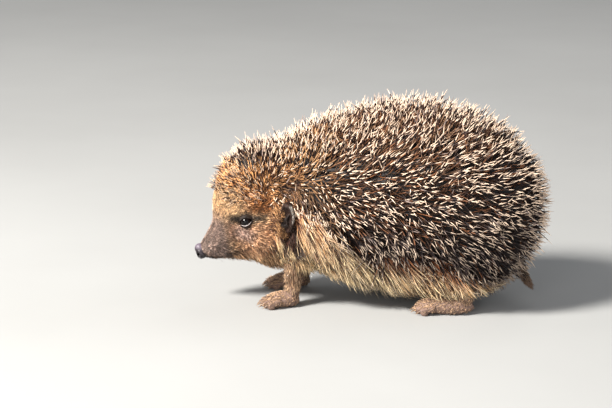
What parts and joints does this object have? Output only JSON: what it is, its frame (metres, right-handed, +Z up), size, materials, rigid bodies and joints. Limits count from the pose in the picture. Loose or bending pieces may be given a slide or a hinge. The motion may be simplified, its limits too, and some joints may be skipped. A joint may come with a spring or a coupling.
{
  "type": "hedgehog",
  "caption": "Life-size display model of a standing European hedgehog, head lowered and turned a little to its left, with a domed back of quills and long flank fur.",
  "frame": {"origin": "on the floor, under the middle of the animal's bounding box", "axes": "+Z up, nose towards -X, tail towards +X, the animal's left side towards -Y"},
  "size_m": [0.2284, 0.1206, 0.1359],
  "materials": {
    "quills": "banded keratin quills: pale tip, dark brown band, straw base",
    "fur": "coarse straw to brown hair",
    "face_fur": "short brown-grey facial hair, orange-tan on cheek and brow",
    "skin": "bare grey-pink skin of ears and feet",
    "eye": "wet, near black",
    "nose": "moist black rhinarium",
    "claws": "dark horn"
  },
  "bodies": {
    "root": {"head": "face_fur", "crown_quills": "quills", "back_quills": "quills", "neck": "fur", "belly": "fur", "front_leg_left": "fur", "front_leg_right": "fur", "hind_leg_left": "fur", "hind_leg_right": "fur", "front_foot_left": "skin", "front_foot_right": "skin", "hind_foot_left": "skin", "hind_foot_right": "skin", "ear_left": "skin", "ear_right": "skin", "tail": "skin", "eye_left": "eye", "eye_right": "eye", "nose": "nose"}
  },
  "joints": []
}
